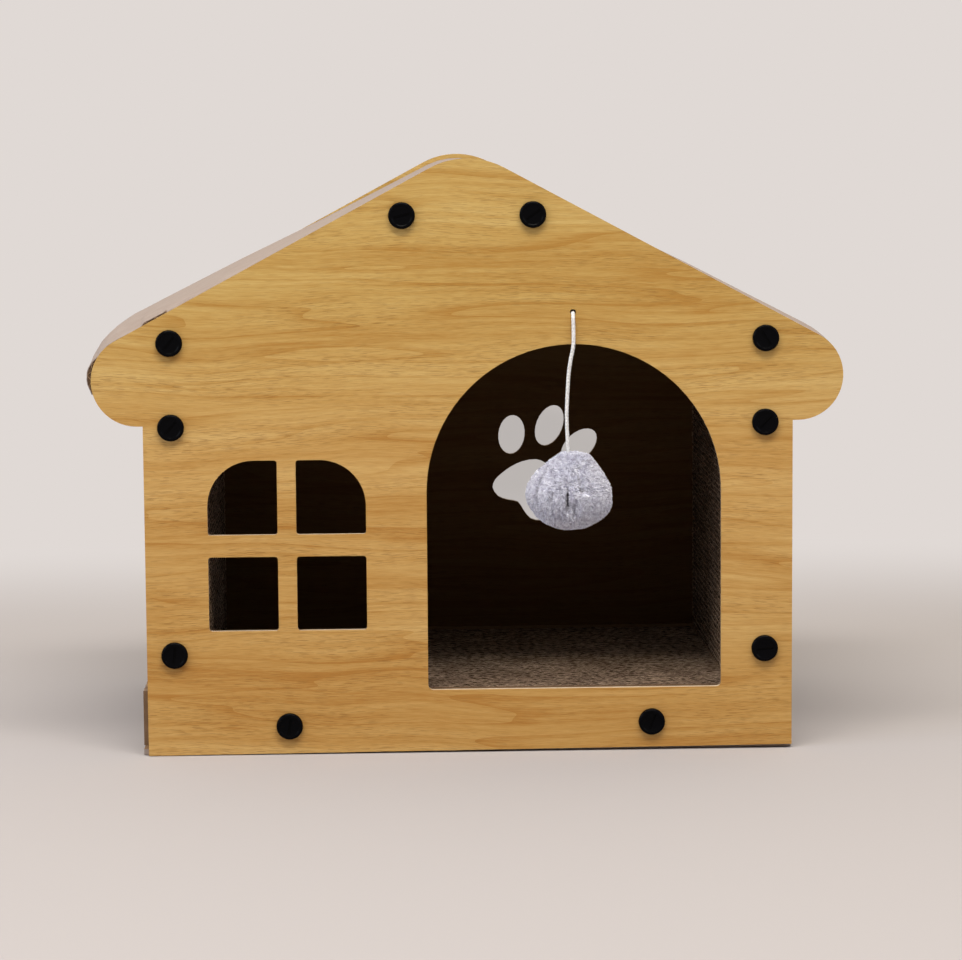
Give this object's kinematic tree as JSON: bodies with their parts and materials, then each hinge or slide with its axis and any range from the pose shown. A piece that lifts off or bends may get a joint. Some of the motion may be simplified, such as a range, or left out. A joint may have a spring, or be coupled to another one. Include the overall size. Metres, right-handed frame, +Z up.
{
  "type": "cat scratcher house",
  "caption": "Gabled cat house of printed corrugated board: arched door, paned window, paw cut-out, curled roof sheet, scratch pads inside, hanging ball.",
  "frame": {"origin": "centre of the underside of the base sheet, under the middle of the body's width and half way between the two end boards", "axes": "+X to the right as seen from the front, +Y to the back (the doorway faces -Y), +Z up"},
  "size_m": [0.5033, 0.313, 0.3971],
  "materials": {
    "printed_oak": "corrugated board printed with a honey oak grain, satin varnish",
    "pale_liner": "white-lined corrugated board, matt",
    "kraft_pad": "cut flutes of brown corrugated board, rough",
    "black_plastic": "moulded black plastic, glossy",
    "cream_cord": "smooth round cord, off-white",
    "grey_pile": "short lavender-grey pile"
  },
  "bodies": {
    "house": {"front_panel": "printed_oak", "back_panel": "printed_oak", "roof_sheet": "pale_liner", "base_sheet": "pale_liner", "left_wall": "pale_liner", "right_wall": "pale_liner", "left_side_pad": "kraft_pad", "right_side_pad": "kraft_pad", "rivet_front_ridge_left": "black_plastic", "rivet_front_ridge_right": "black_plastic", "rivet_front_eave_left": "black_plastic", "rivet_front_eave_right": "black_plastic", "rivet_front_wall_high_left": "black_plastic", "rivet_front_wall_high_right": "black_plastic", "rivet_front_wall_low_left": "black_plastic", "rivet_front_wall_low_right": "black_plastic", "rivet_front_base_left": "black_plastic", "rivet_front_base_right": "black_plastic", "rivet_back_ridge_left": "black_plastic", "rivet_back_ridge_right": "black_plastic", "rivet_back_eave_left": "black_plastic", "rivet_back_eave_right": "black_plastic", "rivet_back_wall_high_left": "black_plastic", "rivet_back_wall_high_right": "black_plastic", "rivet_back_wall_low_left": "black_plastic", "rivet_back_wall_low_right": "black_plastic", "rivet_back_base_left": "black_plastic", "rivet_back_base_right": "black_plastic", "nut_front_ridge_left": "black_plastic", "nut_front_ridge_right": "black_plastic", "nut_front_eave_left": "black_plastic", "nut_front_eave_right": "black_plastic", "nut_front_wall_high_left": "black_plastic", "nut_front_wall_high_right": "black_plastic", "nut_front_wall_low_left": "black_plastic", "nut_front_wall_low_right": "black_plastic", "nut_front_base_left": "black_plastic", "nut_front_base_right": "black_plastic", "nut_back_ridge_left": "black_plastic", "nut_back_ridge_right": "black_plastic", "nut_back_eave_left": "black_plastic", "nut_back_eave_right": "black_plastic", "nut_back_wall_high_left": "black_plastic", "nut_back_wall_high_right": "black_plastic", "nut_back_wall_low_left": "black_plastic", "nut_back_wall_low_right": "black_plastic", "nut_back_base_left": "black_plastic", "nut_back_base_right": "black_plastic", "cord_knot": "cream_cord"},
    "floor_pad": {"floor_pad": "kraft_pad"},
    "cord_top": {"cord_upper": "cream_cord"},
    "toy": {"cord_lower": "cream_cord", "pompom": "grey_pile"}
  },
  "joints": [
    {"name": "floor_pad_slide", "type": "slide", "parent": "house", "child": "floor_pad", "axis": [-1, 0, 0], "range_m": [-0.004, 0.2]},
    {"name": "toy_sway", "type": "hinge", "parent": "house", "child": "cord_top", "pos_m": [0.0697, -0.1419, 0.2952], "axis": [0, 1, 0], "range_deg": [-30, 30]},
    {"name": "toy_swing", "type": "hinge", "parent": "cord_top", "child": "toy", "pos_m": [0.0677, -0.1419, 0.2652], "axis": [1, 0, 0], "range_deg": [-75, 75]}
  ]
}
